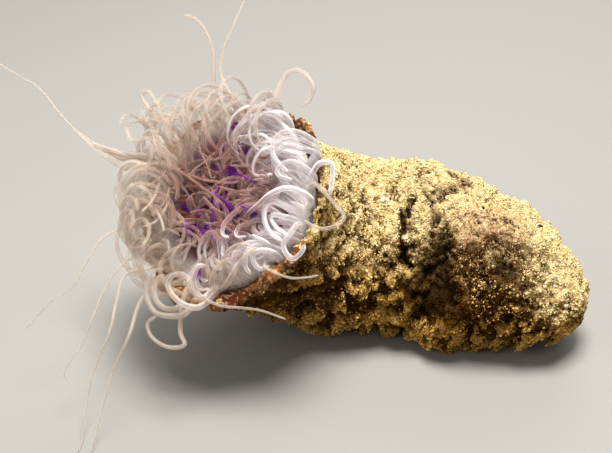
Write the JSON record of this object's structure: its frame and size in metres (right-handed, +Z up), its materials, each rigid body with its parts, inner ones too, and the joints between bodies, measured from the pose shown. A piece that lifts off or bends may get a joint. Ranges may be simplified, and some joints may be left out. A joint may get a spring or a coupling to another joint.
{
  "type": "tube-dwelling sea anemone",
  "caption": "Tube anemone leaning from its sand-crusted felt tube: curled pale tentacles round a mauve disc, violet inner tentacles and whip-like long ones.",
  "frame": {"origin": "on the flat underside of the tube, under its bend, where the tube settles on the floor", "axes": "+X runs along the lying tube from the crown towards its closed end, +Y is away from the side that the mouth faces, +Z is up from the floor"},
  "size_m": [0.2664, 0.1596, 0.1493],
  "materials": {
    "pale_flesh": "moist, translucent white to cream flesh of the marginal tentacles and the column",
    "long_tentacle_flesh": "moist, translucent beige flesh of the long whip-like tentacles",
    "mauve_flesh": "moist mauve-brown flesh of the oral disc and the lips",
    "violet_flesh": "moist violet to mauve flesh of the labial tentacles",
    "tube_felt": "matt orange-brown membranous felt of cast threads",
    "crusted_felt": "rough felt stuck all over with coral sand, shell grit and silt"
  },
  "bodies": {
    "root": {"bow_top_left": "long_tentacle_flesh", "column": "pale_flesh", "drape_right_1": "long_tentacle_flesh", "drape_right_2": "long_tentacle_flesh", "labial_tentacles_1": "violet_flesh", "labial_tentacles_2": "violet_flesh", "labial_tentacles_3": "violet_flesh", "labial_tentacles_4": "violet_flesh", "labial_tentacles_5": "violet_flesh", "labial_tentacles_6": "violet_flesh", "loop_front_1": "long_tentacle_flesh", "loop_front_2": "long_tentacle_flesh", "loop_top_1": "long_tentacle_flesh", "loop_top_2": "long_tentacle_flesh", "marginal_tentacles_01": "pale_flesh", "marginal_tentacles_02": "pale_flesh", "marginal_tentacles_03": "pale_flesh", "marginal_tentacles_04": "pale_flesh", "marginal_tentacles_05": "pale_flesh", "marginal_tentacles_06": "pale_flesh", "marginal_tentacles_07": "pale_flesh", "marginal_tentacles_08": "pale_flesh", "marginal_tentacles_09": "pale_flesh", "marginal_tentacles_10": "pale_flesh", "marginal_tentacles_11": "pale_flesh", "marginal_tentacles_12": "pale_flesh", "marginal_tentacles_13": "pale_flesh", "marginal_tentacles_14": "pale_flesh", "marginal_tentacles_15": "pale_flesh", "marginal_tentacles_16": "pale_flesh", "mouth": "mauve_flesh", "oral_disc": "mauve_flesh", "trail_front": "long_tentacle_flesh", "trail_right": "long_tentacle_flesh", "tube_bend": "crusted_felt", "tube_collar": "tube_felt", "tube_neck": "tube_felt", "tube_run": "crusted_felt", "tube_tail": "crusted_felt", "whip_front_long_1": "long_tentacle_flesh", "whip_front_long_2": "long_tentacle_flesh", "whip_front_long_3": "long_tentacle_flesh", "whip_front_second_1": "long_tentacle_flesh", "whip_front_second_2": "long_tentacle_flesh", "whip_front_second_3": "long_tentacle_flesh", "whip_front_thin_1": "long_tentacle_flesh", "whip_front_thin_2": "long_tentacle_flesh", "whip_left_1": "long_tentacle_flesh", "whip_left_2": "long_tentacle_flesh", "whip_left_3": "long_tentacle_flesh", "whip_side_thin_1": "long_tentacle_flesh", "whip_side_thin_2": "long_tentacle_flesh", "whip_top_1": "long_tentacle_flesh", "whip_top_2": "long_tentacle_flesh", "whip_top_second_1": "long_tentacle_flesh", "whip_top_second_2": "long_tentacle_flesh"}
  },
  "joints": []
}
